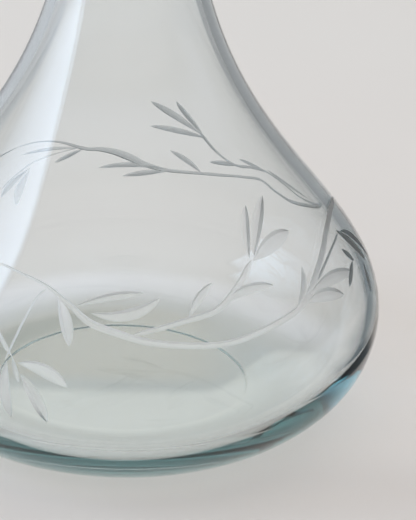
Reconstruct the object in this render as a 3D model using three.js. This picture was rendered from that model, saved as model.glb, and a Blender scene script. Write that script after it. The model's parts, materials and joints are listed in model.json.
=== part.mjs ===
// A blown glass decanter with a ball stopper.
//
// The body is one piece of blown glass: a thick foot, a low wide belly, a long sloping shoulder,
// a short straight neck and a flared lip. The stopper is a solid glass knob. Its stem carries a
// soft ribbed sleeve that seals in the neck, and knob and sleeve lift straight up together.
//
// Millimetres, Z up. The origin is the middle of the foot, on the surface the decanter stands on.

import * as THREE from "three";

// Outside of the body.
const BELLY_DIAMETER = 180;
const BELLY_HEIGHT = 39.5;
const FOOT_DIAMETER = 96;
const FOOT_RING_WIDTH = 2;
const FOOT_GRIND = 4;
const HOLLOW_RISE = 0.35;
const HOLLOW_SLOPE = 2.5;
const SHOULDER_FULLNESS = 40.5;
const SHOULDER_SWEEP = 103;
const NECK_START_HEIGHT = 204;
const NECK_LENGTH = 17;
const LIP_HEIGHT = 12;
const LIP_FLARE = 4.5;

// Thickness of the glass, and the bore that the stopper seals in.
const BASE_THICKNESS = 9.15;
const FLOOR_DIAMETER = 103;
const FLOOR_SWEEP = 22;
const BELLY_SWEEP = 11;
const BELLY_WALL = 4.2;
const NECK_WALL = 3.3;
const NECK_BORE = 34.4;

// Sealing sleeve of the stopper.
const SLEEVE_WALL = 2.5;
const BRIM_THICKNESS = 2;
const BRIM_INSET = 1;
const RIB_COUNT = 3;
const RIB_PITCH = 5.5;
const RIB_DEPTH = 2.2;
const RIB_ROOT = 2.4;
const RIB_TIP = 1;

// Glass knob of the stopper.
const BALL_DIAMETER = 48;
const WAIST_DIAMETER = 20;
const WAIST_HEIGHT = 4;
const COLLAR_THICKNESS = 5;
const COLLAR_INSET = 2;
const BEAD_GRIP = 1.6;
const BEAD_HEIGHT = 4;

// Gap left between pieces that touch.
const FIT_GAP = 0.3;

// Facets: sides of a turned piece, and steps along each stretch of a profile.
const SIDES = 48;
const HEEL_STEPS = 8;
const SHOULDER_STEPS = 14;
const LIP_STEPS = 4;
const RIM_STEPS = 5;
const BALL_STEPS = 14;
const ROUND_STEPS = 4;

// Places that follow from the sizes above.
const bellyRadius = BELLY_DIAMETER / 2;
const footRadius = FOOT_DIAMETER / 2;
const floorRadius = FLOOR_DIAMETER / 2;
const floorHeight = HOLLOW_RISE + BASE_THICKNESS;
const boreRadius = NECK_BORE / 2;
const neckRadius = boreRadius + NECK_WALL;
const lipStart = NECK_START_HEIGHT + NECK_LENGTH;
const rimTop = lipStart + LIP_HEIGHT;
const rimRound = NECK_WALL / 2;
const lipRadius = neckRadius + LIP_FLARE;

const brimBottom = rimTop + FIT_GAP;
const brimTop = brimBottom + BRIM_THICKNESS;
const brimRadius = lipRadius - BRIM_INSET;
const ribRadius = boreRadius - FIT_GAP;
const sleeveRadius = ribRadius - RIB_DEPTH;
const sleeveBore = sleeveRadius - SLEEVE_WALL;
const sleeveBottom = lipStart - RIB_COUNT * RIB_PITCH;

const stemRadius = sleeveBore - FIT_GAP;
const beadTop = sleeveBottom - FIT_GAP;
const beadRadius = stemRadius + BEAD_GRIP;
const collarBottom = brimTop + FIT_GAP;
const collarTop = collarBottom + COLLAR_THICKNESS;
const collarRadius = brimRadius - COLLAR_INSET;

const glassMaterial = new THREE.MeshStandardMaterial({
  color: 0xc9dcd8,
  roughness: 0.05,
  metalness: 0,
  transparent: true,
  opacity: 0.35,
});
const sleeveMaterial = new THREE.MeshStandardMaterial({
  color: 0xe4e6e2,
  roughness: 0.55,
  metalness: 0,
});

// A profile point: distance from the axis and height.
function point(radius, height) {
  return new THREE.Vector2(radius, height);
}

// A value part of the way from one to another.
function mix(from, to, share) {
  return from + (to - from) * share;
}

// Points beside a curve that is followed upwards: a positive distance lies towards the hollow.
function beside(curve, steps, distanceAtStart, distanceAtEnd) {
  const points = [];
  for (let i = 0; i <= steps; i++) {
    const share = i / steps;
    const along = curve.getTangent(share);
    const distance = mix(distanceAtStart, distanceAtEnd, share);
    const inward = point(-along.y, along.x).multiplyScalar(distance);
    points.push(curve.getPoint(share).add(inward));
  }
  return points;
}

// Points on an arc about a centre, from one angle to another.
function arc(centre, radius, fromAngle, toAngle, steps) {
  const clockwise = toAngle < fromAngle;
  const circle = new THREE.EllipseCurve(centre.x, centre.y, radius, radius, fromAngle, toAngle, clockwise);
  return circle.getPoints(steps);
}

// Drops points that repeat the one before them.
function withoutRepeats(points) {
  const tiny = 1e-6;
  return points.filter((each, i) => i === 0 || each.distanceTo(points[i - 1]) > tiny);
}

// Turns a profile about the vertical axis into a named piece.
function turned(name, profile, material) {
  const geometry = new THREE.LatheGeometry(withoutRepeats(profile), SIDES);
  geometry.rotateX(Math.PI / 2);
  const mesh = new THREE.Mesh(geometry, material);
  mesh.name = name;
  return mesh;
}

// The glass body, followed from the middle of the underside up the outside and down the inside.
function decanterBody() {
  const ringInner = footRadius - FOOT_RING_WIDTH;
  const foot = [
    point(0, HOLLOW_RISE),
    point(ringInner - HOLLOW_SLOPE, HOLLOW_RISE),
    point(ringInner, 0),
  ];
  // The heel is part of an ellipse, and the ring is ground flat a little up its side.
  const heelCentre = footRadius - FOOT_GRIND;
  const heelWidth = bellyRadius - heelCentre;
  const heelStart = Math.acos(FOOT_GRIND / heelWidth);
  const heelRise = BELLY_HEIGHT / Math.sin(heelStart);
  const heel = new THREE.EllipseCurve(heelCentre, BELLY_HEIGHT, heelWidth, heelRise, -heelStart, 0);
  const shoulder = new THREE.CubicBezierCurve(
    point(bellyRadius, BELLY_HEIGHT),
    point(bellyRadius, BELLY_HEIGHT + SHOULDER_FULLNESS),
    point(neckRadius, NECK_START_HEIGHT - SHOULDER_SWEEP),
    point(neckRadius, NECK_START_HEIGHT),
  );
  const lipMiddle = new THREE.QuadraticBezierCurve(
    point(boreRadius + rimRound, lipStart),
    point(boreRadius + rimRound, lipStart + LIP_HEIGHT / 2),
    point(lipRadius - rimRound, rimTop - rimRound),
  );
  const lipOutside = beside(lipMiddle, LIP_STEPS, -rimRound, -rimRound);
  const lipInside = beside(lipMiddle, LIP_STEPS, rimRound, rimRound);
  const lipEnd = lipMiddle.getTangent(1);
  const leaning = Math.atan2(-lipEnd.x, lipEnd.y);
  const rim = arc(lipMiddle.getPoint(1), rimRound, leaning, leaning + Math.PI, RIM_STEPS);

  const shoulderInside = beside(shoulder, SHOULDER_STEPS, BELLY_WALL, NECK_WALL);
  const insideRadius = bellyRadius - BELLY_WALL;
  const heelInside = new THREE.CubicBezierCurve(
    point(insideRadius, BELLY_HEIGHT),
    point(insideRadius, BELLY_HEIGHT - BELLY_SWEEP),
    point(floorRadius + FLOOR_SWEEP, floorHeight),
    point(floorRadius, floorHeight),
  );

  const profile = [
    ...foot,
    ...heel.getPoints(HEEL_STEPS),
    ...shoulder.getPoints(SHOULDER_STEPS),
    ...lipOutside,
    ...rim,
    ...lipInside.reverse(),
    ...shoulderInside.reverse(),
    ...heelInside.getPoints(HEEL_STEPS),
    point(0, floorHeight),
  ];
  return turned("decanter_body", profile, glassMaterial);
}

// The sealing sleeve: a tube on the stem, with ribs in the bore and a brim on the lip's rim.
function stopperSleeve() {
  const ribs = [];
  for (let i = 0; i < RIB_COUNT; i++) {
    const middle = lipStart - (i + 0.5) * RIB_PITCH;
    ribs.push(
      point(sleeveRadius, middle + RIB_ROOT / 2),
      point(ribRadius, middle + RIB_TIP / 2),
      point(ribRadius, middle - RIB_TIP / 2),
      point(sleeveRadius, middle - RIB_ROOT / 2),
    );
  }
  const brimRound = BRIM_THICKNESS / 2;
  const brimEdge = arc(
    point(brimRadius - brimRound, brimBottom + brimRound),
    brimRound,
    -Math.PI / 2,
    Math.PI / 2,
    ROUND_STEPS,
  );
  const start = point(sleeveBore, sleeveBottom);
  const profile = [
    start,
    point(sleeveRadius, sleeveBottom),
    ...ribs.reverse(),
    point(sleeveRadius, brimBottom),
    ...brimEdge,
    point(sleeveBore, brimTop),
    start.clone(),
  ];
  return turned("stopper_sleeve", profile, sleeveMaterial);
}

// The solid glass knob, followed from the end of its stem up to the top of the ball.
function stopperKnob() {
  const ballRadius = BALL_DIAMETER / 2;
  const waistRadius = WAIST_DIAMETER / 2;
  const waistTop = collarTop + WAIST_HEIGHT;
  const waistAngle = Math.acos(waistRadius / ballRadius);
  const ballMiddle = waistTop + ballRadius * Math.sin(waistAngle);
  const collarRound = COLLAR_THICKNESS / 2;
  const beadRound = BEAD_HEIGHT / 2;

  const waist = new THREE.QuadraticBezierCurve(
    point(collarRadius - collarRound, collarTop),
    point(waistRadius, collarTop),
    point(waistRadius, waistTop),
  );
  const profile = [
    point(0, beadTop - BEAD_HEIGHT),
    ...arc(
      point(beadRadius - beadRound, beadTop - beadRound),
      beadRound,
      -Math.PI / 2,
      Math.PI / 2,
      ROUND_STEPS,
    ),
    point(stemRadius, beadTop),
    point(stemRadius, collarBottom),
    ...arc(
      point(collarRadius - collarRound, collarBottom + collarRound),
      collarRound,
      -Math.PI / 2,
      Math.PI / 2,
      ROUND_STEPS,
    ),
    ...waist.getPoints(ROUND_STEPS),
    ...arc(point(0, ballMiddle), ballRadius, -waistAngle, Math.PI / 2, BALL_STEPS),
  ];
  return turned("stopper_knob", profile, glassMaterial);
}

const stopper = new THREE.Group();
stopper.add(stopperKnob(), stopperSleeve());

const decanter = new THREE.Group();
decanter.add(decanterBody(), stopper);

export default decanter;
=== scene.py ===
# %% [markdown]
# # A blown glass decanter with a wheel-cut garland
# The imported CAD model comes first. It is the fixed frame: every piece below is made in metres in
# the same place and rides on one of its bodies.

# %% Load the imported frame
import json
import math

import bpy
import numpy as np
from mathutils import Matrix, Vector
from mathutils.geometry import delaunay_2d_cdt

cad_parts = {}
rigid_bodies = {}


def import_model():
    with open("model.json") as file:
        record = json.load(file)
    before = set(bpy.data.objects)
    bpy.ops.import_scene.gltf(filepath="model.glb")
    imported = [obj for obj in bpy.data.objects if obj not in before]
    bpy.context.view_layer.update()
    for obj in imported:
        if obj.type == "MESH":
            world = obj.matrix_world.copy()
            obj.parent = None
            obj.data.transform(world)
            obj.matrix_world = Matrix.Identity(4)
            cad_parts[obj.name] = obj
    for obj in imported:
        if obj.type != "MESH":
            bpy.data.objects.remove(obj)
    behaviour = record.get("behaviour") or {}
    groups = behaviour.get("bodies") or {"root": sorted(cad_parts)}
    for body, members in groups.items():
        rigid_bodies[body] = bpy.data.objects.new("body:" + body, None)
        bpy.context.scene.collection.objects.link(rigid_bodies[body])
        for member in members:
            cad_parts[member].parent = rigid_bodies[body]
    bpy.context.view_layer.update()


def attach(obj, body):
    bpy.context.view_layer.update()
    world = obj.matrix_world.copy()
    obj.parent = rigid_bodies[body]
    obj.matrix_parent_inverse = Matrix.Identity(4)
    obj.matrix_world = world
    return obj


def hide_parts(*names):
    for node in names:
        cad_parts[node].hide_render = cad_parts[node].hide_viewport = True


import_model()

# %% [markdown]
# ## The camera
# The photograph looks down at the belly from about 25 degrees, from far away with a long lens, and
# cuts off the neck. A camera could be placed by eye, but then each edge would sit a little off, so
# these numbers were fitted to the decanter's outline. The camera is turned a little to its right,
# because the decanter stands left of the middle of the picture, and it leans by a degree.

# %% Camera
CAMERA_RISE = math.radians(25.0)
CAMERA_DISTANCE = 0.9
CAMERA_AIM = Vector((0.0, 0.0, 0.055))
CAMERA_TURN = math.radians(-1.86)
CAMERA_LEAN = math.radians(1.036)
CAMERA_NEAREST = 0.01
FOCAL_PIXELS = 2566.5
PICTURE_HEIGHT = 520
SENSOR = 36.0

camera_data = bpy.data.cameras.new("camera")
camera_data.sensor_width = SENSOR
camera_data.lens = FOCAL_PIXELS / PICTURE_HEIGHT * SENSOR
camera_data.clip_start = CAMERA_NEAREST
camera = bpy.data.objects.new("camera", camera_data)
bpy.context.scene.collection.objects.link(camera)
camera_place = CAMERA_AIM + CAMERA_DISTANCE * Vector((0, -math.cos(CAMERA_RISE), math.sin(CAMERA_RISE)))
camera.matrix_world = (
    Matrix.Translation(camera_place)
    @ Matrix.Rotation(math.pi / 2 - CAMERA_RISE, 4, "X")
    @ Matrix.Rotation(CAMERA_TURN, 4, "Y")
    @ Matrix.Rotation(CAMERA_LEAN, 4, "Z")
)
bpy.context.scene.camera = camera
print("camera lens", round(camera_data.lens, 1), "mm")

# %% [markdown]
# ## Shader maths
# Nodes could be linked one by one, but a finish is easier to read as arithmetic. `Wire` wraps a
# socket, so that `1 - mask` adds a Math node by itself. `Finish` is one material: its `add` makes
# any other node from its type, its settings and what goes into its sockets.


# %% Wires
def maths(operation, swapped=False):
    """An operator that adds a Math node to the tree of the wire it works on."""

    def operate(self, other=0.0):
        node = self.socket.id_data.nodes.new("ShaderNodeMath")
        node.operation = operation
        first, second = (other, self) if swapped else (self, other)
        feed(node.inputs[0], first)
        feed(node.inputs[1], second)
        return Wire(node.outputs[0])

    return operate


class Wire:
    """A node's output that Python's arithmetic works on."""

    def __init__(self, socket):
        self.socket = socket

    __add__ = maths("ADD")
    __radd__ = maths("ADD", swapped=True)
    __sub__ = maths("SUBTRACT")
    __rsub__ = maths("SUBTRACT", swapped=True)
    __mul__ = maths("MULTIPLY")
    __rmul__ = maths("MULTIPLY", swapped=True)
    __abs__ = maths("ABSOLUTE")


def feed(socket, value):
    """Links a wire to a socket, or sets the socket to a number, colour or vector."""
    if isinstance(value, Wire):
        socket.id_data.links.new(value.socket, socket)
    else:
        socket.default_value = value


print("wires ready")

# %% Finishes
# Socket numbers of a Mix node for colours.
MIX_FACTOR, MIX_UNDER, MIX_OVER, MIX_RESULT = 0, 6, 7, 2


class Finish:
    """A node tree that is written top to bottom: a material's, or the world's."""

    def __init__(self, owner):
        self.owner = owner
        owner.use_nodes = True
        self.tree = owner.node_tree
        self.tree.nodes.clear()

    def add(self, kind, settings=None, sockets=None, output=0):
        node = self.tree.nodes.new("ShaderNode" + kind)
        for name, value in (settings or {}).items():
            if name == "stops":
                for stop in value[len(node.color_ramp.elements):]:
                    node.color_ramp.elements.new(stop[0])
                for element, stop in zip(node.color_ramp.elements, value):
                    element.position = stop[0]
                    element.color = stop[1]
            else:
                setattr(node, name, value)
        for name, value in (sockets or {}).items():
            feed(node.inputs[name], value)
        return Wire(node.outputs[output]) if len(node.outputs) else node

    def parts(self, vector):
        """The three parts of a vector."""
        node = self.add("SeparateXYZ", {}, {"Vector": vector}).socket.node
        return [Wire(socket) for socket in node.outputs]

    def rising(self, value, limits):
        """A mask that rises smoothly from 0 to 1 while a value goes from one limit to the other."""
        sockets = {"Value": value, "From Min": limits[0], "From Max": limits[1]}
        return self.add("MapRange", {"interpolation_type": "SMOOTHSTEP"}, sockets)

    def band(self, value, start, end):
        """A mask that rises at one pair of limits and falls again at another."""
        return self.rising(value, start) * self.rising(value, end)

    def painted(self, under, mask, colour, blend="MIX"):
        """A colour laid over another where a mask is 1."""
        sockets = {MIX_FACTOR: mask, MIX_UNDER: under, MIX_OVER: colour}
        return self.add("Mix", {"data_type": "RGBA", "blend_type": blend}, sockets, MIX_RESULT)


def material(name):
    return Finish(bpy.data.materials.new(name))


print("finishes ready")

# %% [markdown]
# ## The floor
# The decanter stands on pale matt paper that fills the picture, with a painted shadow in front of
# it. One plane of one colour would do, but its tones change softly with the distance from the
# middle, and real paper is not quite even, so faint spots lie on them. Rays that the glass bends or
# mirrors do not meet this floor: the next step gives the glass a table top of its own.

# %% Table tops
FLOOR_SIDE = 30.0
FLOOR_DROP = 0.0002


def plane(name, corners):
    """A flat sheet with four corners, for the stage round the object."""
    mesh = bpy.data.meshes.new(name)
    mesh.from_pydata(corners, [], [(0, 1, 2, 3)])
    made = bpy.data.objects.new(name, mesh)
    bpy.context.scene.collection.objects.link(made)
    return made


def table_top(name, drop):
    """A level square, much larger than the picture."""
    reach = FLOOR_SIDE / 2
    outline = ((-reach, -reach), (reach, -reach), (reach, reach), (-reach, reach))
    return plane(name, [(x, y, -drop) for x, y in outline])


floor = table_top("floor", FLOOR_DROP)
print("floor", FLOOR_SIDE, "m wide")

# %% Finish of a table top
TONE_REACH = 2.0
SPOTS = {"Scale": 7.0, "Detail": 3.0, "Roughness": 0.5}
SPOT_TONE = (0.965, 0.965, 0.965, 1.0)
PAPER_ROUGHNESS = 0.9


class TableFinish(Finish):
    """A finish for a table top, with the distances that its tones follow."""

    def __init__(self, name):
        super().__init__(bpy.data.materials.new(name))
        self.place = self.add("TexCoord", output="Object")
        self.from_middle = self.add(
            "VectorMath", {"operation": "LENGTH"}, {0: self.place}, output="Value"
        )
        self.right, self.back, _ = self.parts(self.place)

    def ringed(self, tones):
        """Tones that run into each other, each given with its distance from the middle."""
        stops = [(distance / TONE_REACH, tone) for distance, tone in tones]
        return self.add("ValToRGB", {"stops": stops}, {"Fac": self.from_middle * (1 / TONE_REACH)})

    def lay(self, tone, table):
        """Ends the finish with faint cloudy spots, and lays it on a table top."""
        spots = self.add("TexNoise", {}, {"Vector": self.place, **SPOTS})
        colour = self.painted(tone, spots, SPOT_TONE, "MULTIPLY")
        paper = self.add("BsdfPrincipled", {}, {"Base Color": colour, "Roughness": PAPER_ROUGHNESS})
        self.add("OutputMaterial", {}, {"Surface": paper})
        table.data.materials.append(self.owner)


pale = TableFinish("pale_table")
print("finish", pale.owner.name)

# %% The floor that the camera sees
FLOOR_NEAR = (0.79, 0.742, 0.705, 1.0)
FLOOR_BEHIND = (0.80, 0.775, 0.745, 1.0)
FLOOR_TONES = [(0.1, FLOOR_NEAR), (0.4, FLOOR_BEHIND)]
# Painted shadow: the paper is darker in a band in front of the decanter.
PAINTED_FRONT_SHADOW = (0.735, 0.69, 0.66, 1.0)
FRONT_START = (0.065, 0.078)
FRONT_END = (0.50, 0.14)
FRONT_EDGE = (-0.03, -0.06)

front_shadow = pale.band(pale.from_middle, FRONT_START, FRONT_END) * pale.rising(pale.back, FRONT_EDGE)
pale.lay(pale.painted(pale.ringed(FLOOR_TONES), front_shadow, PAINTED_FRONT_SHADOW), floor)
floor.visible_glossy = False
floor.visible_transmission = False
print("floor tones", len(FLOOR_TONES) + 1)

# %% [markdown]
# ## What only the glass sees
# Photographers stand clear glass between dark cards, just outside the picture, so that its edges
# draw themselves as dark lines. The cards would show from other sides, so here they lie in a second
# table top that rays meet only after the glass has bent or mirrored them. It also carries the pool
# of light, the shade and the bright arc that a thick glass foot throws under itself. Such focused
# light could be traced instead, but it would take far too long to come out clean.

# %% Light and shade under the glass
GLASS_TABLE_DROP = 0.0001
# Painted shade: far from the decanter this table top grows dark, as if the light fell off with
# distance.
FAR_PAINTED_SHADE = (0.20, 0.20, 0.20, 1.0)
GLASS_TABLE_TONES = FLOOR_TONES + [(0.6, FLOOR_BEHIND), (TONE_REACH, FAR_PAINTED_SHADE)]
POOL_LIGHT = (1.0, 0.93, 0.87, 1.0)
POOL_REACH = (0.086, 0.070)
POOL_EDGE = (-0.003, -0.011)
POOL_RIGHT = (0.03, 0.06)
POOL_SHIFT = 0.035
SHADE_UNDER = (0.83, 0.745, 0.668, 1.0)
SHADE_REACH = (0.068, 0.056)
SHADE_BEHIND = (-0.003, 0.008)
SHADE_RIGHT = (0.05, 0.02)
CRESCENT_SHADE = (0.64, 0.595, 0.53, 1.0)
CRESCENT_INSIDE = (0.044, 0.050)
CRESCENT_OUTSIDE = (0.064, 0.055)
CRESCENT_LEFT = (0.012, -0.02)
ARC_LIGHT = (0.93, 0.88, 0.875, 1.0)
ARC_INSIDE = (0.066, 0.081)
ARC_OUTSIDE = (0.104, 0.088)
ARC_BEHIND = (0.02, 0.05)

table_in_glass = table_top("table_in_glass", GLASS_TABLE_DROP)
seen = TableFinish("table_in_glass")
pool_edge = seen.back - seen.rising(seen.right, POOL_RIGHT) * POOL_SHIFT
pool = seen.rising(seen.from_middle, POOL_REACH) * seen.rising(pool_edge, POOL_EDGE)
behind = seen.rising(seen.back, SHADE_BEHIND)
shade = seen.rising(seen.from_middle, SHADE_REACH) * behind * seen.rising(seen.right, SHADE_RIGHT)
# A painted crescent of shade lies behind the foot, on its left.
shade_crescent = seen.band(seen.from_middle, CRESCENT_INSIDE, CRESCENT_OUTSIDE)
shade_crescent = shade_crescent * behind * seen.rising(seen.right, CRESCENT_LEFT)
light_arc = seen.band(seen.from_middle, ARC_INSIDE, ARC_OUTSIDE) * seen.rising(seen.back, ARC_BEHIND)
layers = [(pool, POOL_LIGHT), (shade, SHADE_UNDER), (shade_crescent, CRESCENT_SHADE), (light_arc, ARC_LIGHT)]
seen_tone = seen.ringed(GLASS_TABLE_TONES)
for mask, colour in layers:
    seen_tone = seen.painted(seen_tone, mask, colour)
print("light and shade in", len(layers), "layers")

# %% Dark cards, and the pale sheet between them
CARD_LEFT = (0.64, 0.65, 0.67, 1.0)
CARD_DARK = (0.18, 0.205, 0.22, 1.0)
CARD_BACK = (0.33, 0.34, 0.35, 1.0)
CARD_PALE = (0.66, 0.63, 0.61, 1.0)
CARD_SIDES = (-0.02, 0.02)
BACK_START = (0.25, 0.40)
PALE_START = (0.22, 0.28)
PALE_END = (0.24, 0.16)
SHEET_MIDDLE = 0.03
SHEET_HALF = (0.086, 0.112)
SHEET_SPREAD = 0.11
SHEET_FRONT = (-0.005, 0.03)
STRIP_INNER = (0.112, 0.116)
STRIP_OUTER = (0.175, 0.155)
STRIP_FRONT = (-0.04, -0.02)
STRIP_BACK = (0.05, 0.02)

# The cards, the pale corner and the dark strip are painted: the glass alone shows them, bent or
# mirrored, as dark and pale reflections along its edges.
card_right = seen.painted(CARD_DARK, seen.rising(seen.back, BACK_START), CARD_BACK)
pale_corner = seen.rising(seen.right, PALE_START) * seen.rising(seen.back, PALE_END)
card_right = seen.painted(card_right, pale_corner, CARD_PALE)
cards = seen.painted(CARD_LEFT, seen.rising(seen.right, CARD_SIDES), card_right)
off_sheet = seen.rising(abs(seen.right - SHEET_MIDDLE) - seen.back * SHEET_SPREAD, SHEET_HALF)
off_sheet = off_sheet * seen.rising(seen.back, SHEET_FRONT)
strip = seen.band(seen.right, STRIP_INNER, STRIP_OUTER)
strip = strip * seen.band(seen.back, STRIP_FRONT, STRIP_BACK)
seen_tone = seen.painted(seen_tone, off_sheet, cards)
seen_tone = seen.painted(seen_tone, strip, CARD_DARK)
seen.lay(seen_tone, table_in_glass)
table_in_glass.visible_camera = False
table_in_glass.visible_diffuse = False
table_in_glass.visible_shadow = False
print("table top for the glass:", seen.owner.name)

# %% [markdown]
# ## Daylight and window
# Soft daylight fills the room, strongest from above, with a cool glow low behind the decanter. A
# tall curtained window stands on the left, and the long highlight on the shoulder is its mirror
# image. Lamps would show in the glass as hard spots, so the room is a sky with soft steps, and the
# window is a glowing sheet that the camera itself does not see.

# %% Room light
ROOM_LIGHT = 0.19
ROOM_TO_BACK = -0.10
ROOM_TO_RIGHT = -0.05
ROOM_TO_TOP = 0.97
ROOM_TINT = (1.0, 0.99, 0.98, 1.0)
HORIZON_GLOW = 0.40
HORIZON_TINT = (0.92, 0.96, 1.0, 1.0)
HORIZON_BACK = (0.8, 0.95)
HORIZON_RIGHT = (-0.28, 0.10)
HORIZON_TOP = (0.30, 0.12)

room = Finish(bpy.data.worlds.new("room"))
bpy.context.scene.world = room.owner
to_right, to_back, to_top = room.parts(room.add("TexCoord", output="Generated"))
brightness = ROOM_LIGHT + to_back * ROOM_TO_BACK + to_right * ROOM_TO_RIGHT + to_top * ROOM_TO_TOP
room_light = room.add("Background", {}, {"Color": ROOM_TINT, "Strength": brightness})
horizon = room.rising(to_back, HORIZON_BACK) * room.rising(to_right, HORIZON_RIGHT)
horizon = horizon * room.rising(to_top, HORIZON_TOP) * HORIZON_GLOW
horizon_light = room.add("Background", {}, {"Color": HORIZON_TINT, "Strength": horizon})
all_light = room.add("AddShader", {}, {0: room_light, 1: horizon_light})
room.add("OutputWorld", {}, {"Surface": all_light})
print("room light straight above", round(ROOM_LIGHT + ROOM_TO_TOP, 2))

# %% Window
WINDOW_DISTANCE = 1.5
WINDOW_FRONT = -0.56
WINDOW_BACK = 0.80
WINDOW_SILL = 0.12
WINDOW_HEIGHT = 1.9
WINDOW_RADIANCE = 5.0
WINDOW_TINT = (0.69, 0.82, 1.0, 1.0)
WINDOW_SHARP = (WINDOW_FRONT, -0.46)
WINDOW_FADE = (WINDOW_BACK, -0.50)
WINDOW_FOOT = (0.0, 0.3)
WINDOW_TOP = (WINDOW_HEIGHT, 1.4)
BLACK = (0.0, 0.0, 0.0, 1.0)

window_outline = (
    (WINDOW_FRONT, WINDOW_SILL),
    (WINDOW_BACK, WINDOW_SILL),
    (WINDOW_BACK, WINDOW_HEIGHT),
    (WINDOW_FRONT, WINDOW_HEIGHT),
)
window = plane("window", [(-WINDOW_DISTANCE, y, z) for y, z in window_outline])
curtain = material("curtained_window")
_, window_y, window_z = curtain.parts(curtain.add("TexCoord", output="Object"))
fade = {"Value": window_y, "From Min": WINDOW_FADE[0], "From Max": WINDOW_FADE[1]}
shine = curtain.add("MapRange", {}, fade) * curtain.rising(window_y, WINDOW_SHARP)
shine = shine * curtain.band(window_z, WINDOW_FOOT, WINDOW_TOP)
glowing_cloth = {
    "Base Color": BLACK,
    "Emission Color": curtain.painted(BLACK, shine, WINDOW_TINT),
    "Emission Strength": WINDOW_RADIANCE,
}
curtain.add("OutputMaterial", {}, {"Surface": curtain.add("BsdfPrincipled", {}, glowing_cloth)})
window.data.materials.append(curtain.owner)
window.visible_camera = False
print("window", WINDOW_BACK - WINDOW_FRONT, "m wide, up to", WINDOW_HEIGHT, "m")

# %% [markdown]
# ## How far light is followed
# Light that enters a thick glass wall can run round in it for many turns before it leaves. A
# renderer stops somewhere, and where it stops shows in the band at the heel: too few bounces leave
# it black, too many fill it with the window's blue. This number gives the glass its muted teal.

# %% Bounces and plain colours
LIGHT_BOUNCES = 18

scene = bpy.context.scene
scene.view_settings.view_transform = "Standard"
scene.view_settings.look = "None"
scene.cycles.max_bounces = LIGHT_BOUNCES
scene.cycles.transmission_bounces = LIGHT_BOUNCES
scene.cycles.glossy_bounces = LIGHT_BOUNCES
scene.cycles.blur_glossy = 0.0
print("light followed for", LIGHT_BOUNCES, "bounces")

# %% [markdown]
# ## Glass and silicone
# Blown soda glass is almost clear. Its colour shows only where light runs a long way inside the
# wall, at the foot and the outline, so the tint is an absorption inside the solid and not a paint.
# The cuts are ground with a wheel: they scatter light, so they look pale against dark and dark
# against light. Their frost is pale, but on the strokes at the back and on the right it is painted
# greyer, as shade, and attributes of the mesh say where. Fine grinding lines follow each stroke.

# %% Clear glass
WHITE = (1.0, 1.0, 1.0, 1.0)
GLASS_IOR = 1.5
GLASS_TINT = (0.30, 0.57, 0.58, 1.0)
TINT_DENSITY = 16.0
RIPPLE = {"Scale": 22.0, "Detail": 1.0}
RIPPLE_RELIEF = {"Strength": 0.012, "Distance": 0.002}
HAZE = {"Scale": 60.0, "Detail": 2.0}
HAZE_ROUGHNESS = 0.012


def clear_surface(glass):
    """Fire-polished glass: smooth, with the faint ripple that blowing leaves."""
    place = glass.add("TexCoord", output="Object")
    ripple = glass.add("TexNoise", {}, {"Vector": place, **RIPPLE})
    haze = glass.add("TexNoise", {}, {"Vector": place, **HAZE})
    sockets = {
        "Base Color": WHITE,
        "Roughness": haze * HAZE_ROUGHNESS,
        "IOR": GLASS_IOR,
        "Transmission Weight": 1.0,
        "Normal": glass.add("Bump", {}, {"Height": ripple, **RIPPLE_RELIEF}),
    }
    return glass.add("BsdfPrincipled", {}, sockets)


def filled(glass, surface):
    """Ends a glass: its surface, and the tint that light gathers inside it."""
    tint = glass.add("VolumeAbsorption", {}, {"Color": GLASS_TINT, "Density": TINT_DENSITY})
    glass.add("OutputMaterial", {}, {"Surface": surface, "Volume": tint})
    return glass.owner


knob = material("knob_glass")
knob_glass = filled(knob, clear_surface(knob))
print("clear glass", knob_glass.name)

# %% Ground glass of the cuts, in one material with the clear glass round them
GROUND_FROST = (0.96, 0.97, 0.975, 1.0)
GROUND_PAINTED_SHADE = (0.53, 0.56, 0.58, 1.0)
CUT_CLEARNESS = 0.72
CUT_ROUGHNESS = 0.4
STREAK_ROUGHNESS = 0.2
STREAK_STRETCH = (40.0, 2600.0, 1.0)
STREAKS = {"Scale": 1.0, "Detail": 2.0}
STREAK_RELIEF = {"Strength": 0.12, "Distance": 0.0001}

body = material("body_glass")
stroke_map = body.add("UVMap", {"uv_map": "strokes"})
along_stroke = body.add("Mapping", {}, {"Vector": stroke_map, "Scale": STREAK_STRETCH})
streaks = body.add("TexNoise", {}, {"Vector": along_stroke, **STREAKS})
# Painted shade: the frost of the strokes at the back and on the right is greyer.
painted_shade_mask = body.add("Attribute", {"attribute_name": "coarse"}, output="Fac")
frost = {
    "Base Color": body.painted(GROUND_FROST, painted_shade_mask, GROUND_PAINTED_SHADE),
    "Roughness": CUT_ROUGHNESS + streaks * STREAK_ROUGHNESS,
    "IOR": GLASS_IOR,
    "Transmission Weight": CUT_CLEARNESS,
    "Normal": body.add("Bump", {}, {"Height": streaks, **STREAK_RELIEF}),
}
ground_surface = body.add("BsdfPrincipled", {}, frost)
cut_mask = body.add("Attribute", {"attribute_name": "cut"}, output="Fac")
cut_or_clear = body.add("MixShader", {}, {0: cut_mask, 1: clear_surface(body), 2: ground_surface})
body_glass = filled(body, cut_or_clear)
print("body glass", body_glass.name)

# %% Silicone
SILICONE_SHADED = (0.80, 0.815, 0.80, 1.0)
SILICONE_PALE = (0.87, 0.88, 0.865, 1.0)
SILICONE_ROUGHNESS = 0.42
CLOUD_ROUGHNESS = 0.16
CLOUDS = {"Scale": 90.0, "Detail": 3.0}
GRAIN = {"Scale": 1400.0, "Detail": 2.0}
GRAIN_RELIEF = {"Strength": 0.12, "Distance": 0.0002}
SILICONE_IOR = 1.41
SILICONE_CLEARNESS = 0.25
SILICONE_MILKINESS = 0.3
MILKY_DEPTH = 0.004

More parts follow.
